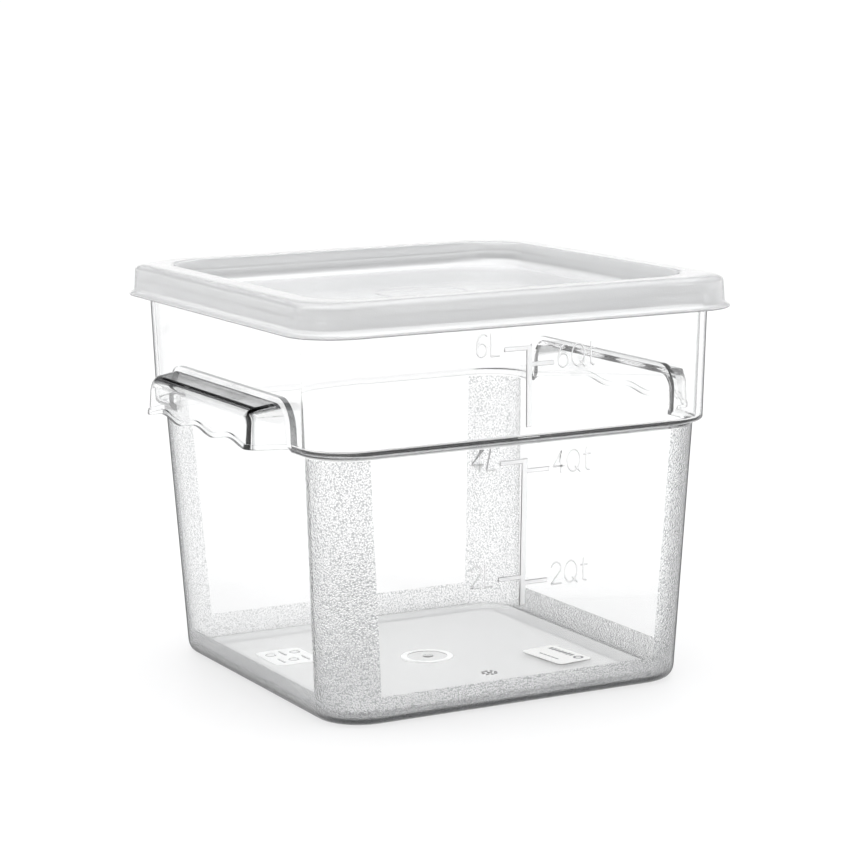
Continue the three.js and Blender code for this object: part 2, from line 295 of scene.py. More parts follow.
class Nodes:
    """A material's node tree, with short calls for the nodes used here."""

    def __init__(self, name):
        self.material = bpy.data.materials.new(name)
        self.material.use_nodes = True
        self.tree = self.material.node_tree
        self.shader = self.tree.nodes["Principled BSDF"]
        self.position = self.add("ShaderNodeTexCoord").outputs["Object"]

    def add(self, kind, **settings):
        node = self.tree.nodes.new(kind)
        for key, value in settings.items():
            setattr(node, key, value)
        return node

    def link(self, source, target):
        self.tree.links.new(source, target)

    def set(self, **values):
        for key, value in values.items():
            self.shader.inputs[key.replace("_", " ")].default_value = value

    def noise(self, scale, detail=2.0, roughness=0.5):
        node = self.add("ShaderNodeTexNoise")
        node.inputs["Scale"].default_value = scale
        node.inputs["Detail"].default_value = detail
        node.inputs["Roughness"].default_value = roughness
        self.link(self.position, node.inputs["Vector"])
        return node.outputs["Fac"]

    def cells(self, scale):
        node = self.add("ShaderNodeTexVoronoi", feature="F1")
        node.inputs["Scale"].default_value = scale
        self.link(self.position, node.inputs["Vector"])
        return node.outputs["Distance"]

    def ramp(self, value, stops):
        node = self.add("ShaderNodeValToRGB")
        elements = node.color_ramp.elements
        while len(elements) < len(stops):
            elements.new(0.5)
        for element, (place, colour) in zip(elements, stops):
            element.position = place
            element.color = (*colour, 1.0)
        self.link(value, node.inputs["Fac"])
        return node.outputs["Color"]

    def span(self, value, low, high):
        node = self.add("ShaderNodeMapRange")
        node.inputs["To Min"].default_value = low
        node.inputs["To Max"].default_value = high
        self.link(value, node.inputs["Value"])
        return node.outputs["Result"]

    def bump(self, height, distance, strength, below=None):
        node = self.add("ShaderNodeBump")
        node.inputs["Strength"].default_value = strength
        node.inputs["Distance"].default_value = distance
        self.link(height, node.inputs["Height"])
        if below is not None:
            self.link(below, node.inputs["Normal"])
        return node.outputs["Normal"]

    def attribute(self, name):
        return self.add("ShaderNodeAttribute", attribute_name=name).outputs["Fac"]

    def mixed(self, factor, first, second, blend="MIX"):
        node = self.add("ShaderNodeMix", data_type="RGBA", blend_type=blend)
        for name, value in (("Factor", factor), ("A", first), ("B", second)):
            socket = next(s for s in node.inputs if s.name == name and s.enabled)
            if isinstance(value, float):
                socket.default_value = value
            elif isinstance(value, tuple):
                socket.default_value = (*value, 1.0)
            else:
                self.link(value, socket)
        return next(s for s in node.outputs if s.name == "Result" and s.enabled)

    def math(self, operation, *values, clamp=False):
        node = self.add("ShaderNodeMath", operation=operation, use_clamp=clamp)
        for socket, value in zip(node.inputs, values):
            if isinstance(value, float):
                socket.default_value = value
            else:
                self.link(value, socket)
        return node.outputs["Value"]

    def normal_height(self):
        """The upright part of the surface normal: 1 on level faces, 0 on upright ones."""
        split = self.add("ShaderNodeSeparateXYZ")
        self.link(self.add("ShaderNodeNewGeometry").outputs["Normal"], split.inputs["Vector"])
        return split.outputs["Z"]

    def underside_shade(self, upright):
        """Darker where a rounded edge turns under, where thick plastic gathers no light."""
        return self.ramp(self.math("MULTIPLY_ADD", upright, 0.5, 0.5), (
            (0.02, (1.0, 1.0, 1.0)),
            (0.1, (0.07, 0.075, 0.08)),
            (0.32, (0.04, 0.042, 0.045)),
            (0.45, (0.90, 0.90, 0.90)),
            (0.48, (1.0, 1.0, 1.0)),
        ))

    def facing(self):
        node = self.add("ShaderNodeLayerWeight")
        node.inputs["Blend"].default_value = 0.5
        return node.outputs["Facing"]


def lets_lamps_through(nodes, share):
    """Lets that share of a lamp's light pass straight through, for bright soft shadows."""
    clear = nodes.add("ShaderNodeBsdfTransparent")
    clear.inputs["Color"].default_value = (share, share, share, 1.0)
    mix = nodes.add("ShaderNodeMixShader")
    path = nodes.add("ShaderNodeLightPath")
    nodes.link(path.outputs["Is Shadow Ray"], mix.inputs["Fac"])
    nodes.link(nodes.shader.outputs["BSDF"], mix.inputs[1])
    nodes.link(clear.outputs["BSDF"], mix.inputs[2])
    output = nodes.tree.nodes["Material Output"]
    nodes.link(mix.outputs["Shader"], output.inputs["Surface"])


def clear_plastic():
    """Clear polycarbonate.

    Stippled faces carry fine pebbles, frosted faces scatter a little, pale faces are made
    mostly opaque so they look white, which is painted lightness, and every face is painted
    dark where it is seen edge on: painted shade in place of the dark lines thick clear plastic
    shows there.
    """
    nodes = Nodes("clear_polycarbonate")
    nodes.set(IOR=1.585, Metallic=0.0, Specular_IOR_Level=0.0)
    stipple = nodes.attribute("stipple")
    frost = nodes.attribute("frost")
    pale = nodes.attribute("pale")
    upright = nodes.normal_height()
    level = nodes.math("ABSOLUTE", upright)
    facing = nodes.math("MULTIPLY", nodes.facing(), nodes.span(level, 1.0, 0.8))

    # Painted shade: the base colour goes dark where a face is seen edge on, drawing dark edge
    # lines.
    edge = nodes.ramp(facing, (
        (0.0, (1.0, 1.0, 1.0)),
        (0.6, (0.985, 0.99, 0.99)),
        (0.72, (0.35, 0.36, 0.37)),
        (0.9, (0.01, 0.01, 0.012)),
    ))
    pebbles = nodes.cells(1350.0)
    speckle = nodes.ramp(pebbles, (
        (0.4, (1.0, 1.0, 1.0)),
        (0.7, (0.34, 0.35, 0.36)),
    ))
    tint = nodes.mixed(stipple, edge, nodes.mixed(1.0, edge, speckle, "MULTIPLY"))
    # tint holds the painted edge shade and the stipple speckle; shaded adds the painted
    # underside shade.
    shaded = nodes.mixed(1.0, tint, nodes.underside_shade(upright), "MULTIPLY")
    tint = nodes.mixed(nodes.span(stipple, 0.7, 1.0), tint, shaded)
    nodes.link(tint, nodes.shader.inputs["Base Color"])

    # Painted shade, with the ramp above: transmission fades out edge on, so the dark base colour
    # shows as a dark line.
    clear = nodes.ramp(facing, (
        (0.7, (1.0, 1.0, 1.0)),
        (0.82, (0.3, 0.3, 0.3)),
        (0.95, (0.0, 0.0, 0.0)),
    ))
    # Painted lightness: pale faces lose most of their transmission, so the lamp lights their
    # pale base colour white.
    hidden = nodes.math("MULTIPLY", pale, 0.75)
    clear = nodes.math("SUBTRACT", clear, hidden, clamp=True)
    nodes.link(clear, nodes.shader.inputs["Transmission Weight"])

    haze = nodes.span(nodes.noise(26.0, 3.0), 0.0, 0.02)
    rough = nodes.math("MULTIPLY_ADD", stipple, nodes.span(nodes.noise(400.0), 0.04, 0.12), haze)
    rough = nodes.math("MULTIPLY_ADD", frost, 0.28, rough)
    nodes.link(rough, nodes.shader.inputs["Roughness"])

    waves = nodes.bump(nodes.noise(14.0, 1.0), 0.0002, 0.2)
    pebbled = nodes.bump(nodes.math("MULTIPLY", stipple, pebbles), 0.0003, 0.6, waves)
    grain = nodes.math("MULTIPLY", stipple, nodes.noise(900.0, 2.0, 0.5))
    nodes.link(nodes.bump(grain, 0.0004, 0.5, pebbled), nodes.shader.inputs["Normal"])
    lets_lamps_through(nodes, 0.965)
    return nodes.material


def milky_plastic():
    """Translucent polyethylene: milky, satin, with a very fine texture."""
    nodes = Nodes("milky_polyethylene")
    nodes.set(Metallic=0.0, IOR=1.45, Transmission_Weight=0.6)
    clouds = nodes.ramp(nodes.noise(9.0, 3.0), (
        (0.3, (0.92, 0.925, 0.93)),
        (0.7, (0.96, 0.963, 0.965)),
    ))
    upright = nodes.normal_height()
    level = nodes.math("ABSOLUTE", upright)
    facing = nodes.math("MULTIPLY", nodes.facing(), nodes.span(level, 1.0, 0.8))
    # Painted shade: the base colour goes dark where a face is seen edge on, drawing dark edge
    # lines.
    edge = nodes.ramp(facing, (
        (0.0, (1.0, 1.0, 1.0)),
        (0.7, (0.97, 0.97, 0.97)),
        (0.82, (0.35, 0.35, 0.36)),
        (0.93, (0.04, 0.04, 0.05)),
    ))
    # edge then carries the painted edge shade and the painted underside shade.
    edge = nodes.mixed(1.0, edge, nodes.underside_shade(upright), "MULTIPLY")
    shade = nodes.mixed(1.0, clouds, edge, "MULTIPLY")
    nodes.link(shade, nodes.shader.inputs["Base Color"])
    nodes.link(nodes.span(nodes.noise(220.0, 3.0), 0.05, 0.11), nodes.shader.inputs["Roughness"])
    fine = nodes.bump(nodes.noise(1400.0, 2.0), 0.0002, 0.2)
    soft = nodes.bump(nodes.noise(30.0, 2.0), 0.0004, 0.2, fine)
    nodes.link(soft, nodes.shader.inputs["Normal"])
    lets_lamps_through(nodes, 0.94)
    return nodes.material


def paper():
    nodes = Nodes("coated_paper")
    nodes.set(Metallic=0.0)
    fibres = nodes.ramp(nodes.noise(1800.0, 4.0, 0.7), (
        (0.3, (0.90, 0.90, 0.89)),
        (0.7, (0.96, 0.96, 0.95)),
    ))
    nodes.link(fibres, nodes.shader.inputs["Base Color"])
    nodes.link(nodes.span(nodes.noise(500.0), 0.35, 0.55), nodes.shader.inputs["Roughness"])
    nodes.link(nodes.bump(nodes.noise(1500.0), 0.0001, 0.4), nodes.shader.inputs["Normal"])
    return nodes.material


def print_ink():
    nodes = Nodes("grey_print")
    nodes.set(Metallic=0.0)
    speckle = nodes.ramp(nodes.noise(2500.0, 2.0), (
        (0.3, (0.10, 0.10, 0.11)),
        (0.8, (0.22, 0.22, 0.23)),
    ))
    nodes.link(speckle, nodes.shader.inputs["Base Color"])
    nodes.link(nodes.span(nodes.noise(700.0), 0.4, 0.6), nodes.shader.inputs["Roughness"])
    return nodes.material


def pale_floor():
    nodes = Nodes("studio_floor")
    nodes.set(Roughness=0.45, Metallic=0.0)
    paint = nodes.ramp(nodes.noise(3.0), (
        (0.0, (0.85, 0.85, 0.85)),
        (1.0, (0.87, 0.87, 0.87)),
    ))
    nodes.link(paint, nodes.shader.inputs["Base Color"])
    return nodes.material


# ---- Container body ----

def lower_half(z):
    return LOWER_HALF + LOWER_DRAFT * z


def upper_half(z):
    return UPPER_HALF + UPPER_DRAFT * z


def corner_radius(inset):
    """Corner radius that keeps every corner on the same centre line as the outer wall."""
    def radius(half, z):
        pulled_in = max(0.0, lower_half(z) - inset - half)
        wall = lower_half(z) if z < (LEDGE_BOTTOM + LEDGE_TOP) / 2 else upper_half(z)
        pushed_out = 0.0 if z < RIM_TOP / 2 else max(0.0, half + inset - wall)
        return CORNER_RADIUS + CORNER_DRAFT * z - inset - pulled_in + pushed_out
    return radius


def ledge(inset, rise):
    low = LEDGE_BOTTOM + rise
    high = LEDGE_TOP + rise
    swing = (high - low) / 2
    start = (lower_half(low) - inset, low)
    end = (upper_half(high) - inset, high)
    return [start] + cubic(start, (start[0], low + swing), (end[0], high - swing), end)


def body_outside(materials):
    mouth = upper_half(RIM_TOP)
    out = mouth + BEAD_OUT
    foot = (FOOT_HALF, 0.0)
    profile = [foot]
    profile += quadratic(foot, (lower_half(0), 0.0), (lower_half(FOOT_FILLET), FOOT_FILLET))
    profile.append((lower_half(STIPPLE_TOP), STIPPLE_TOP))
    profile += ledge(0.0, 0.0)
    profile.append((upper_half(BEAD_BOTTOM), BEAD_BOTTOM))
    profile += quadratic(profile[-1], (out, BEAD_BOTTOM), (out, BEAD_BOTTOM + BEAD_ROUND), 4)
    profile.append((out, RIM_TOP - BEAD_ROUND))
    profile += quadratic(profile[-1], (out, RIM_TOP), (out - BEAD_ROUND, RIM_TOP), 4)

    def slot_of(band, segment):
        z = (profile[band][1] + profile[band + 1][1]) / 2
        stippled = z < STIPPLE_TOP or (z < LEDGE_BOTTOM and in_corner(segment))
        return STIPPLED if stippled else CLEAR

    return square_loft("container_shell", profile, corner_radius(0.0), materials, slot_of)


def body_cavity(materials):
    fillet = FOOT_FILLET - FLOOR / 2
    start = (lower_half(FLOOR) - WALL - fillet, FLOOR)
    end = (lower_half(FLOOR + fillet) - WALL, FLOOR + fillet)
    profile = [start] + quadratic(start, (lower_half(FLOOR) - WALL, FLOOR), end)
    profile += ledge(WALL, LEDGE_RISE)
    profile.append((upper_half(RIM_TOP) - WALL, RIM_TOP))
    profile.append((upper_half(RIM_TOP) - WALL, RIM_TOP + WALL))

    return square_loft("cavity", profile, corner_radius(WALL), materials,
                       lambda band, segment: PANEL if band == 0 else CLEAR)


def lower_wall_block(inset, materials):
    top = HOOD_ROOT_TOP + 2 * STEP_MARGIN + WALL
    profile = [(lower_half(FOOT_FILLET) - inset, FOOT_FILLET), (lower_half(top) - inset, top)]
    return square_loft("wall_block", profile, corner_radius(inset), materials)


def arch_ring(x, half, top, radius, lean):
    """Upright arch in the plane X = x, anticlockwise seen from +X."""
    flat = [(-half, HOOD_BOTTOM), (half, HOOD_BOTTOM)]
    for side, turn in ((1, 0.0), (-1, math.pi / 2)):
        for k in range(ARC_STEPS + 1):
            angle = turn + (math.pi / 2) * k / ARC_STEPS
            flat.append((
                side * (half - radius) + radius * math.cos(angle),
                top - radius + radius * math.sin(angle),
            ))
    return [Vector((x + lean * (top - z), y, z)) for y, z in flat]


def hood_solid(inset, materials):
    """Hood on the +X side. A positive inset gives the finger pocket inside it."""
    rings = []
    rounding = max(HOOD_ROUND - inset, 1.0)
    reach = HOOD_REACH - inset
    wall_at = upper_half(HOOD_ROOT_TOP)

    def ring(x, shrink):
        t = max(0.0, (x - wall_at) / (HOOD_REACH - wall_at))
        half = lerp(HOOD_ROOT_HALF, HOOD_TIP_HALF, t) - inset - shrink
        top = lerp(HOOD_ROOT_TOP, HOOD_TIP_TOP, t) - inset - shrink
        radius = lerp(HOOD_ROOT_RADIUS, HOOD_TIP_RADIUS, t) - inset
        rings.append(arch_ring(x, half, top, max(radius, 1.5), HOOD_LEAN * t))

    ring(HOOD_ROOT, 0.0)
    ring(wall_at, 0.0)
    for k in range(CURVE_STEPS + 1):
        angle = (math.pi / 2) * k / CURVE_STEPS
        ring(reach - rounding * (1 - math.sin(angle)), rounding * (1 - math.cos(angle)))
    return loft("hood", rings, materials)


def scallop_slab(top, materials):
    """Everything above the scalloped edge up to top, or the lip's band if top is None."""
    steps = 120
    bottom = []
    for k in range(steps + 1):
        y = lerp(-SCALLOP_HALF, SCALLOP_HALF, k / steps)
        wave = math.cos(2 * math.pi * y / SCALLOP_PITCH)
        bottom.append((y, SCALLOP_HEIGHT + SCALLOP_DEPTH * wave))
    reach = HOOD_ROOT_HALF + WALL
    bottom = [(-reach, bottom[0][1])] + bottom + [(reach, bottom[0][1])]
    vertices, faces = [], []
    for x in (HOOD_ROOT - 1, HOOD_REACH + 10):
        for y, z in bottom:
            vertices.append((x, y, z))
            vertices.append((x, y, z + LIP_HEIGHT if top is None else top))
    half = 2 * len(bottom)
    for i in range(len(bottom) - 1):
        a, b, c, d = 2 * i, 2 * i + 1, 2 * i + 3, 2 * i + 2
        faces.append((a, b, c, d))
        faces.append((a + half, d + half, c + half, b + half))
        faces.append((a, d, d + half, a + half))
        faces.append((b, b + half, c + half, c))
    end = half - 2
    faces.append((0, half, half + 1, 1))
    faces.append((end, end + 1, end + half + 1, end + half))
    return new_object("slab", vertices, faces, None, materials)


def handle(materials):
    hood = hood_solid(0.0, materials)
    combine(hood, scallop_slab(HOOD_ROOT_TOP + WALL, materials), "INTERSECT")
    lip = hood_solid(-LIP_OUT, materials)
    combine(lip, scallop_slab(None, materials), "INTERSECT")
    return combine(hood, lip, "UNION")


def step_block(materials):
    half = HOOD_ROOT_HALF + STEP_MARGIN
    top = HOOD_ROOT_TOP + STEP_MARGIN
    radius = HOOD_ROOT_RADIUS + STEP_MARGIN
    rings = [
        arch_ring(HOOD_ROOT - 2 * WALL, half, top, radius, 0.0),
        arch_ring(HOOD_REACH, half, top, radius, 0.0),
    ]
    return loft("step", rings, materials)


# ---- Graduation marks ----

def oval(x, z, rx, rz, start=0.0, end=360.0, steps=24):
    """Points on an oval arc, in a glyph's own units."""
    points = []
    for k in range(steps + 1):
        angle = math.radians(lerp(start, end, k / steps))
        points.append((x + rx * math.cos(angle), z + rz * math.sin(angle)))
    return points


# Each glyph is one or more strokes in a box 1 high; the first number is its width.
GLYPHS = {
    "2": (0.56, [oval(0.27, 0.73, 0.25, 0.27, 165, -40) + [(0.02, 0.0), (0.54, 0.0)]]),
    "4": (0.58, [[(0.42, 0.0), (0.42, 1.0), (0.0, 0.3), (0.56, 0.3)]]),
    "6": (0.56, [
        oval(0.27, 0.3, 0.25, 0.3),
        oval(0.36, 0.38, 0.34, 0.62, 180, 62),
    ]),
    "L": (0.5, [[(0.04, 1.0), (0.04, 0.0), (0.46, 0.0)]]),
    "Q": (0.74, [oval(0.35, 0.5, 0.33, 0.5), [(0.44, 0.22), (0.7, -0.04)]]),
    "t": (0.36, [
        [(0.14, 1.04), (0.14, 0.14)] + oval(0.28, 0.14, 0.14, 0.14, 180, 280, 8),
        [(0.0, 0.74), (0.34, 0.74)],
    ]),
}
GLYPH_HEIGHT = 10.2
GLYPH_GAP = 0.13
STROKE_RADIUS = 0.42
STROKE_SINK = 0.12


def wall_point(x, z, out):
    """A point on the front wall, raised by out, at width x and height z."""
    half = lower_half(z) if z < LEDGE_BOTTOM else upper_half(z)
    return Vector((x, -half - out, z))


def stroke(points, materials):
    """A raised round stroke along points on the front wall."""
    sides = 10
    closed = math.dist(points[0], points[-1]) < 1e-6
    if closed:
        points = points[:-1]
    count = len(points)
    vertices, faces = [], []

    def section(at, along, radius, shift=0.0):
        across = (-along[1], along[0])
        for k in range(sides):
            angle = 2 * math.pi * k / sides
            side, out = radius * math.cos(angle), radius * math.sin(angle)
            x = at[0] + across[0] * side + along[0] * shift
            z = at[1] + across[1] * side + along[1] * shift
            vertices.append(wall_point(x, z, out - STROKE_SINK))

    def direction(i):
        before = points[(i - 1) % count] if closed else points[max(i - 1, 0)]
        after = points[(i + 1) % count] if closed else points[min(i + 1, count - 1)]
        dx, dz = after[0] - before[0], after[1] - before[1]
        length = math.hypot(dx, dz)
        return dx / length, dz / length

    if not closed:
        section(points[0], direction(0), 0.6 * STROKE_RADIUS, -0.8 * STROKE_RADIUS)
    for i in range(count):
        section(points[i], direction(i), STROKE_RADIUS)
    if not closed:
        section(points[-1], direction(count - 1), 0.6 * STROKE_RADIUS, 0.8 * STROKE_RADIUS)
    rings = len(vertices) // sides
    for r in range(rings if closed else rings - 1):
        for k in range(sides):
            a, b = r * sides + k, r * sides + (k + 1) % sides
            c, d = (b + sides) % len(vertices), (a + sides) % len(vertices)
            faces.append((a, b, c, d))
    if not closed:
        faces.append(tuple(reversed(range(sides))))
        faces.append(tuple(range((rings - 1) * sides, rings * sides)))
    made = new_object("stroke", vertices, faces, [RAISED] * len(faces), materials)
    outward(made)
    return made


def outward(obj):
    """Turns a closed object's faces outward."""
    work = bmesh.new()
    work.from_mesh(obj.data)
    bmesh.ops.recalc_face_normals(work, faces=work.faces)
    if work.calc_volume(signed=True) < 0:
        bmesh.ops.reverse_faces(work, faces=work.faces)
    work.to_mesh(obj.data)
    work.free()


def corners_filled(points, steps=3):
    """Extra points close to each sharp bend, so that a stroke keeps its width there."""
    filled = [points[0]]
    for before, at, after in zip(points, points[1:], points[2:]):
        reach = 0.5 * STROKE_RADIUS
        enter = min(reach / max(math.dist(before, at), 1e-6), 0.45)
        leave = min(reach / max(math.dist(at, after), 1e-6), 0.45)
        a = tuple(lerp(p, q, enter) for p, q in zip(at, before))
        b = tuple(lerp(p, q, leave) for p, q in zip(at, after))
        turn = abs(math.remainder(
            math.atan2(after[1] - at[1], after[0] - at[0])
            - math.atan2(at[1] - before[1], at[0] - before[0]), 2 * math.pi))
        if turn < math.radians(30):
            filled.append(at)
        else:
            filled.append(a)
            filled += quadratic(a, at, b, steps)
    filled.append(points[-1])
    return filled


def text_strokes(text, left, bottom):
    """Stroke outlines of a short text, in millimetres on the front wall."""
    strokes = []
    at = left
    for letter in text:
        width, lines = GLYPHS[letter]
        for line in lines:
            strokes.append([(at + GLYPH_HEIGHT * x, bottom + GLYPH_HEIGHT * z) for x, z in line])
        at += GLYPH_HEIGHT * (width + GLYPH_GAP)
    return strokes


def text_width(text):
    widths = [GLYPHS[letter][0] for letter in text]
    return GLYPH_HEIGHT * (sum(widths) + GLYPH_GAP * (len(text) - 1))


def bar(left, right, low, high, materials):
    """A flat raised bar on the front wall with sloping edges."""
    slope = 0.25
    base = [(left, low), (right, low), (right, high), (left, high)]
    top = [(left + slope, low + slope), (right - slope, low + slope),
           (right - slope, high - slope), (left + slope, high - slope)]
    vertices = [wall_point(x, z, -1.0) for x, z in base]
    vertices += [wall_point(x, z, 0.0) for x, z in base]
    vertices += [wall_point(x, z, MARK_RAISE) for x, z in top]
    faces = [(0, 1, 2, 3), (8, 11, 10, 9)]
    for ring in (0, 4):
        for k in range(4):
            n = (k + 1) % 4
            faces.append((ring + k, ring + k + 4, ring + n + 4, ring + n))
    made = new_object("bar", vertices, faces, [RAISED] * len(faces), materials)
    outward(made)
    return made


TEXT_GAP = 15.0
TEXT_DROP = 3.6


def graduation_marks(materials):
    half = SCALE_BAR_WIDTH / 2
    made = [bar(-half, half, low, high, materials) for low, high in SCALE_BARS]
    for number, z in LITRE_TICKS.items():
        made.append(bar(-TICK_REACH, half - 0.5, z - TICK_THICKNESS, z, materials))
        text = f"{number}L"
        left = -TEXT_GAP - text_width(text)
        strokes = text_strokes(text, left, z - TEXT_DROP)
        made += [stroke(corners_filled(line), materials) for line in strokes]
    for number, z in QUART_TICKS.items():
        made.append(bar(0.5 - half, TICK_REACH, z - TICK_THICKNESS, z, materials))
        strokes = text_strokes(f"{number}Qt", TEXT_GAP, z - TEXT_DROP)
        made += [stroke(corners_filled(line), materials) for line in strokes]
    return made


DETAIL_ROOT = 0.6


def disc(centre, radius, height, materials, sides=48, slot=CLEAR):
    """A low round plateau with a bevelled edge, rooted in the floor."""
    x, y, z = centre
    bevel = min(0.5 * height, 0.2)
    rings = []
    levels = ((radius, -DETAIL_ROOT), (radius, height - bevel), (radius - bevel, height))
    for r, level in levels:
        rings.append([
            Vector((x + r * math.cos(a), y + r * math.sin(a), z + level))
            for a in (2 * math.pi * k / sides for k in range(sides))
        ])
    return loft("disc", rings, materials, lambda band, segment: slot)


def ring_tube(centre, radius, section, materials, sides=64):
    """A raised round ring, half sunk in the surface at its centre height."""
    x, y, z = centre
    vertices, faces = [], []
    around = 10
    for k in range(sides):
        turn = 2 * math.pi * k / sides
        for m in range(around):
            angle = 2 * math.pi * m / around
            r = radius + section * math.cos(angle)
            height = z + 0.6 * section * math.sin(angle)
            vertices.append((x + r * math.cos(turn), y + r * math.sin(turn), height))
    for k in range(sides):
        for m in range(around):
            a, b = k * around + m, k * around + (m + 1) % around
            c, d = ((k + 1) % sides) * around + (m + 1) % around, ((k + 1) % sides) * around + m
            faces.append((a, b, c, d))
    made = new_object("ring", vertices, faces, [CLEAR] * len(faces), materials)
    outward(made)
    return made


def rounded_plateau(centre, size, radius, height, materials, slot=CLEAR):
    """A low plateau with rounded corners, rooted in the floor."""
    x, y, z = centre
    rings = []
    for inset, level in ((0.0, -DETAIL_ROOT), (0.0, 0.5 * height), (0.5 * height, height)):
        half_x, half_y = size[0] / 2 - inset, size[1] / 2 - inset
        rings.append([
            Vector((x + point.x * half_x, y + point.y * half_y, z + level))
            for point in square_ring(1.0, radius / max(size) * 2, 0.0)
        ])
    return loft("plateau", rings, materials, lambda band, segment: slot)


MEDALLION_AT = (0.0, 0.0)
MEDALLION_RADII = (13.0, 10.0)
GATE_RADIUS = 2.6
GATE_SHIFT = 0.6
ROSETTE_AT = (10.9, -43.6)
ROSETTE_PETALS = 8
ROSETTE_REACH = 3.2
PETAL_RADIUS = 0.8
HEART_RADIUS = 1.1
PATCH_AT = (-57.5, 32.4)
PATCH_SIZE = (24.0, 30.0)
PATCH_CORNER = 4.0
PATCH_PITCH = 6.5
PATCH_RING = (2.4, 0.35)
PATCH_BAR = (1.2, 8.0)
LOW_RAISE = 0.25
HIGH_RAISE = 0.5


def floor_details(materials):
    """Moulded marks on the inside floor: a gate ring, a rosette and a smooth patch."""
    x, y = MEDALLION_AT
    outer, inner = MEDALLION_RADII
    medallion = disc((x, y, FLOOR), outer, LOW_RAISE, materials, slot=PALE)
    hole = disc((x, y, FLOOR), inner, 1.0, materials)
    hole.data.transform(Matrix.Translation((0, 0, DETAIL_ROOT * MM)))
    combine(medallion, hole, "DIFFERENCE")
    made = [medallion, disc((x + GATE_SHIFT, y, FLOOR), GATE_RADIUS, HIGH_RAISE, materials, 24)]
    x, y = ROSETTE_AT
    for k in range(ROSETTE_PETALS):
        turn = 2 * math.pi * k / ROSETTE_PETALS
        at = (x + ROSETTE_REACH * math.cos(turn), y + ROSETTE_REACH * math.sin(turn), FLOOR)
        made.append(disc(at, PETAL_RADIUS, HIGH_RAISE, materials, 16))
    made.append(disc((x, y, FLOOR), HEART_RADIUS, HIGH_RAISE, materials, 16))
    x, y = PATCH_AT
    patch = ((x, y, FLOOR), PATCH_SIZE, PATCH_CORNER, LOW_RAISE, materials, PALE)
    made.append(rounded_plateau(*patch))
    # Rings and bars alternate over three rows of two.
    for row in range(3):
        for column in range(2):
            across, along = PATCH_PITCH * (row - 1), PATCH_PITCH * (2 * column - 1)
            at = (x + across, y + along, FLOOR + LOW_RAISE)
            if (row + column) % 2:
                made.append(ring_tube(at, *PATCH_RING, materials, 28))
            else:
                made.append(rounded_plateau(at, PATCH_BAR, 0.5, 0.35, materials))
    return made


def container_body(materials):
    body = body_outside(materials)
    pocket = hood_solid(HOOD_WALL, materials)
    combine(pocket, lower_wall_block(0.0, materials), "DIFFERENCE")
    step = step_block(materials)
    combine(step, lower_wall_block(WALL, materials), "DIFFERENCE")
    cavity = body_cavity(materials)
    hood = handle(materials)
    for angle in (0.0, math.pi):
        combine(body, turned(hood, angle), "UNION")
        combine(body, turned(pocket, angle), "DIFFERENCE")
        combine(cavity, turned(step, angle), "DIFFERENCE")
    for used in (hood, pocket, step):
        bpy.data.objects.remove(used)
    for mark in graduation_marks(materials):
        combine(body, mark, "UNION")
    combine(body, cavity, "DIFFERENCE")
    recess = loft("recess", [
        square_ring(RECESS_HALF, RECESS_RADIUS, -1.0),
        square_ring(RECESS_HALF - 0.4, RECESS_RADIUS, RECESS_DEPTH),
    ], materials)
    combine(body, recess, "DIFFERENCE")
    for mark in floor_details(materials):
        combine(body, mark, "UNION")
    slots = [face.material_index for face in body.data.polygons]
    for name, shares in FINISHES.items():
        mask = body.data.attributes.new(name, "FLOAT", "FACE")
        mask.data.foreach_set("value", [shares.get(slot, 0.0) for slot in slots])
    body.name = "container_moulding"
    smooth(body)
    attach(body, "container")
    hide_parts("container_body")


# ---- Lid ----

def lid_outside_radius(half, z):
    inward = LID_SKIRT_HALF - half
    return LID_CORNER_RADIUS + (inward * LID_SHOULDER_SPREAD if inward > 0 else -inward)


def lid_inside_radius(half, z):
    return LID_CORNER_RADIUS + (LID_SKIRT_HALF - half) * LID_INSIDE_SPREAD


def lid_outside(materials):
    profile = [
        (LID_FLARE_HALF - 0.5, LID_BOTTOM),
        (LID_FLARE_HALF - 0.15, LID_BOTTOM + 0.15),
        (LID_FLARE_HALF, LID_BOTTOM + 0.5),
        (LID_FLARE_HALF, LID_BOTTOM + 1.0),
        (LID_FLARE_HALF - 0.25, LID_BOTTOM + 1.3),
        (LID_SKIRT_HALF + 1.2, LID_BOTTOM + 1.9),
    ]
    skirt = (LID_SKIRT_HALF, LID_BOTTOM + 4.6)
    profile += quadratic(profile[-1], (LID_SKIRT_HALF, LID_BOTTOM + 2.2), skirt)
    profile.append((LID_SKIRT_HALF - 0.3, LID_TOP - 3.1))
    shoulder = (LID_SHOULDER_HALF + 2.1, LID_TOP - 0.15)
    profile += quadratic(profile[-1], (LID_SKIRT_HALF - 0.6, LID_TOP - 0.4), shoulder)
    profile.append((LID_SHOULDER_HALF, LID_TOP))
    return square_loft("lid_moulding", profile, lid_outside_radius, materials)


def lid_tray(grow, top, materials):
    floor = LID_PANEL_TOP - grow
    side = LID_RECESS_HALF + grow
    start = (LID_PANEL_HALF, floor)
    profile = [start] + quadratic(start, (side, floor), (side, floor + 5))
    inner = LID_RIM_INNER_HALF - 1
    profile.append((inner + grow, LID_TOP - 1.2))
    if grow == 0:
        profile += quadratic(profile[-1], (inner, LID_TOP), (inner + 1.3, LID_TOP), 5)
    profile.append((profile[-1][0], top))

    def radius(half, z):
        return LID_RECESS_RADIUS + (LID_RIM_INNER_HALF - half) * LID_RECESS_SPREAD + 2 * grow

    return square_loft("tray", profile, radius, materials)


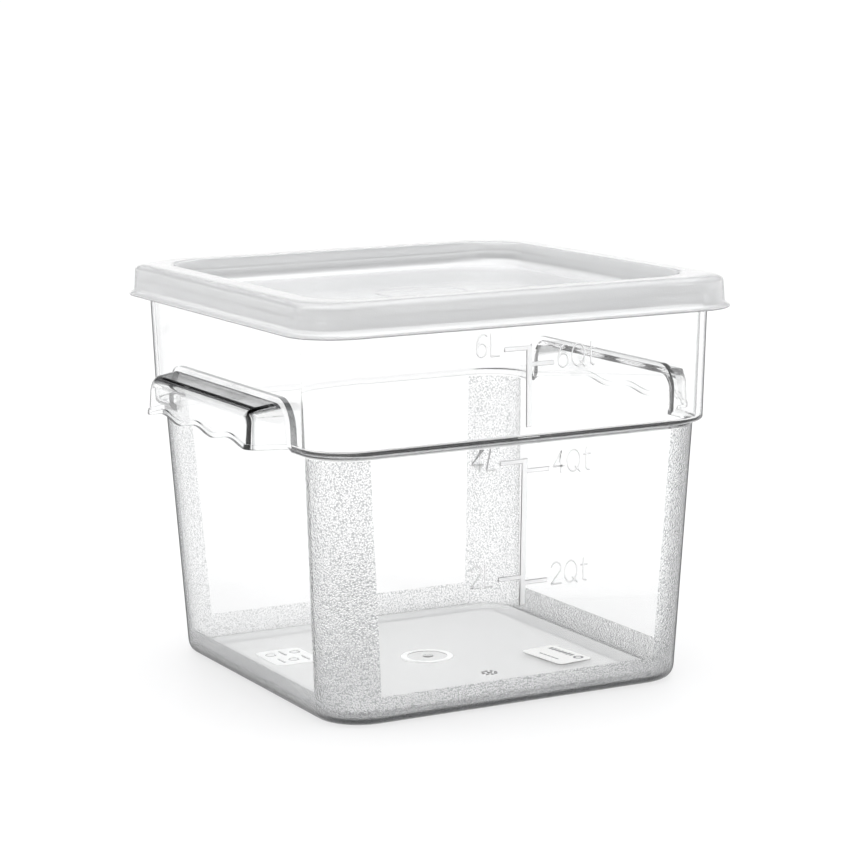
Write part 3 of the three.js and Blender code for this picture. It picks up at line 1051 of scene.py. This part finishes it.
def lid_skirt_inside(materials):
    flare = LID_FLARE_HALF - 1.6
    profile = [(flare, LID_BOTTOM - 1), (flare, LID_BOTTOM)]
    channel = (LID_CHANNEL_HALF, LID_BOTTOM + 3.6)
    profile += quadratic(profile[-1], (LID_CHANNEL_HALF + 0.3, LID_BOTTOM + 0.6), channel)
    profile.append((LID_RIDGE_HALF, BEAD_BOTTOM - 2.2))
    profile.append((LID_RIDGE_HALF, BEAD_BOTTOM - 1))
    profile.append((LID_CHANNEL_HALF, BEAD_BOTTOM + 0.4))
    profile.append((LID_CHANNEL_HALF, RIM_TOP - BEAD_ROUND))
    inner = (LID_CHANNEL_HALF - 1, LID_CHANNEL_TOP)
    profile += quadratic(profile[-1], (LID_CHANNEL_HALF, LID_CHANNEL_TOP), inner, 5)
    return square_loft("skirt_inside", profile, lid_inside_radius, materials)


def lid_body(materials):
    channel = lid_skirt_inside(materials)
    combine(channel, lid_tray(LID_SHEET, LID_TOP, materials), "DIFFERENCE")
    lid = lid_outside(materials)
    combine(lid, lid_tray(0.0, LID_TOP + 5, materials), "DIFFERENCE")
    combine(lid, channel, "DIFFERENCE")
    emboss = ring_tube((0.0, 0.0, LID_PANEL_TOP), LID_EMBOSS_RADIUS, 0.5, materials)
    combine(lid, emboss, "UNION")
    smooth(lid)
    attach(lid, "lid")
    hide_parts("lid")


# ---- Label ----

LABEL_SIZE = (20.0, 33.0)
LABEL_TURN = math.radians(6.0)
LABEL_RADIUS = 3.0
PRINT_HEIGHT = 0.03
PRINT_GAP = 0.005
# Columns of printed blocks: how many, the first one's centre, and the pitch.
BLOCKS = (7, -5.0, 2.8)
BLOCK_X = 5.4
BLOCK_WIDTHS = (2.6, 3.1)
BLOCK_HEIGHT = 1.9
RULES = (5, -6.4, 3.2)
RULE_X = -4.6
RULE_SIZE = (0.9, 2.6)
PRINT_RING_Y = -10.6
PRINT_RING_RADII = (2.6, 1.5)
RING_SIDES = 24


def flat_plate(vertices, faces, centre, size, low, high):
    """Adds a thin rectangular plate to a vertex and face list."""
    first = len(vertices)
    for z in (low, high):
        for sx, sy in ((-1, -1), (1, -1), (1, 1), (-1, 1)):
            vertices.append((centre[0] + sx * size[0] / 2, centre[1] + sy * size[1] / 2, z))
    faces.append(tuple(first + k for k in (3, 2, 1, 0)))
    faces.append(tuple(first + k for k in (4, 5, 6, 7)))
    for k in range(4):
        n = (k + 1) % 4
        faces.append((first + k, first + n, first + 4 + n, first + 4 + k))


def label(materials):
    """Paper label, printed with plain grey blocks, a ring and a rule."""
    centre = (LABEL_LOW + LABEL_HIGH) / 2
    low, high = LABEL_LOW.z, LABEL_HIGH.z - PRINT_HEIGHT
    half_x, half_y = LABEL_SIZE[0] / 2, LABEL_SIZE[1] / 2
    outline = []
    for corner, (sx, sy) in enumerate(((1, 1), (-1, 1), (-1, -1), (1, -1))):
        for k in range(9):
            angle = (corner + k / 8) * math.pi / 2
            outline.append((
                sx * (half_x - LABEL_RADIUS) + LABEL_RADIUS * math.cos(angle),
                sy * (half_y - LABEL_RADIUS) + LABEL_RADIUS * math.sin(angle),
            ))
    count = len(outline)
    vertices = [(x, y, z) for z in (low, high) for x, y in outline]
    faces = [tuple(reversed(range(count))), tuple(range(count, 2 * count))]
    for k in range(count):
        n = (k + 1) % count
        faces.append((k, n, count + n, count + k))
    slots = [0] * len(faces)
    print_levels = (high + PRINT_GAP, high + PRINT_HEIGHT)
    number, start, pitch = BLOCKS
    for k in range(number):
        size = (BLOCK_WIDTHS[k % 2], BLOCK_HEIGHT)
        flat_plate(vertices, faces, (BLOCK_X, start + pitch * k), size, *print_levels)
    number, start, pitch = RULES
    for k in range(number):
        flat_plate(vertices, faces, (RULE_X, start + pitch * k), RULE_SIZE, *print_levels)
    ring = []
    for k in range(RING_SIDES):
        angle = 2 * math.pi * k / RING_SIDES
        ring.append((math.cos(angle), math.sin(angle)))
    first = len(vertices)
    for radius in PRINT_RING_RADII:
        for z in print_levels:
            vertices += [(BLOCK_X + radius * x, PRINT_RING_Y + radius * y, z) for x, y in ring]
    outer_low, outer_high, inner_low, inner_high = (first + RING_SIDES * m for m in range(4))
    for k in range(RING_SIDES):
        n = (k + 1) % RING_SIDES
        faces.append((outer_low + k, outer_low + n, outer_high + n, outer_high + k))
        faces.append((outer_high + k, outer_high + n, inner_high + n, inner_high + k))
        faces.append((inner_high + k, inner_high + n, inner_low + n, inner_low + k))
        faces.append((inner_low + k, inner_low + n, outer_low + n, outer_low + k))
    slots += [1] * (len(faces) - len(slots))
    made = new_object("paper_label", vertices, faces, slots, materials)
    made.data.transform(Matrix.Rotation(LABEL_TURN, 4, "Z"))
    made.data.transform(Matrix.Translation(Vector((centre.x, centre.y, 0.0)) * MM))
    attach(made, "container")
    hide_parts("label")


# ---- Stage, light and camera ----

FLOOR_REACH = 60000.0
FLOOR_DROP = 0.3
SUN_STRENGTH = 4.25
SUN_WIDTH = math.radians(100.0)
SURROUND_STRENGTH = 1.2
# Heights on the unit sphere of directions: pale up to the first, dark from the second.
SURROUND_PALE = 0.06
CEILING_DARK = 0.34


def stage(floor_material):
    r, z = FLOOR_REACH, -FLOOR_DROP
    corners = [(-r, -r, z), (r, -r, z), (r, r, z), (-r, r, z)]
    floor = new_object("floor", corners, [(0, 1, 2, 3)], None, [floor_material])


def studio():
    """A wide soft light overhead, a pale surround, and a darker ceiling that edges reflect."""
    scene = bpy.context.scene
    scene.view_settings.view_transform = "Standard"
    world = bpy.data.worlds.new("studio")
    world.use_nodes = True
    scene.world = world
    tree = world.node_tree
    direction = tree.nodes.new("ShaderNodeTexCoord").outputs["Generated"]
    split = tree.nodes.new("ShaderNodeSeparateXYZ")
    tree.links.new(direction, split.inputs["Vector"])
    ramp = tree.nodes.new("ShaderNodeValToRGB")
    elements = ramp.color_ramp.elements
    elements[0].position, elements[0].color = SURROUND_PALE, (1.0, 1.0, 1.0, 1.0)
    elements[1].position, elements[1].color = CEILING_DARK, (0.03, 0.03, 0.033, 1.0)
    tree.links.new(split.outputs["Z"], ramp.inputs["Fac"])
    background = tree.nodes["Background"]
    background.inputs["Strength"].default_value = SURROUND_STRENGTH
    tree.links.new(ramp.outputs["Color"], background.inputs["Color"])
    data = bpy.data.lights.new("overhead", "SUN")
    data.energy = SUN_STRENGTH
    data.angle = SUN_WIDTH
    light = bpy.data.objects.new("overhead", data)
    light.location = (0.0, 0.0, 2.0)
    light.visible_glossy = False
    light.visible_transmission = False
    scene.collection.objects.link(light)


def camera():
    data = bpy.data.cameras.new("camera")
    data.sensor_width = CAMERA_SENSOR
    data.lens = CAMERA_LENS
    data.clip_start = 0.05
    data.clip_end = 50.0
    obj = bpy.data.objects.new("camera", data)
    obj.location = CAMERA_AT
    obj.rotation_mode = "QUATERNION"
    aim = (CAMERA_AIM - CAMERA_AT).to_track_quat("-Z", "Y")
    obj.rotation_quaternion = aim @ Matrix.Rotation(CAMERA_ROLL, 4, "Z").to_quaternion()
    bpy.context.scene.collection.objects.link(obj)
    bpy.context.scene.camera = obj


camera()
container_body([clear_plastic()] * FINISH_COUNT)
lid_body([milky_plastic()])
label([paper(), print_ink()])
stage(pale_floor())
studio()
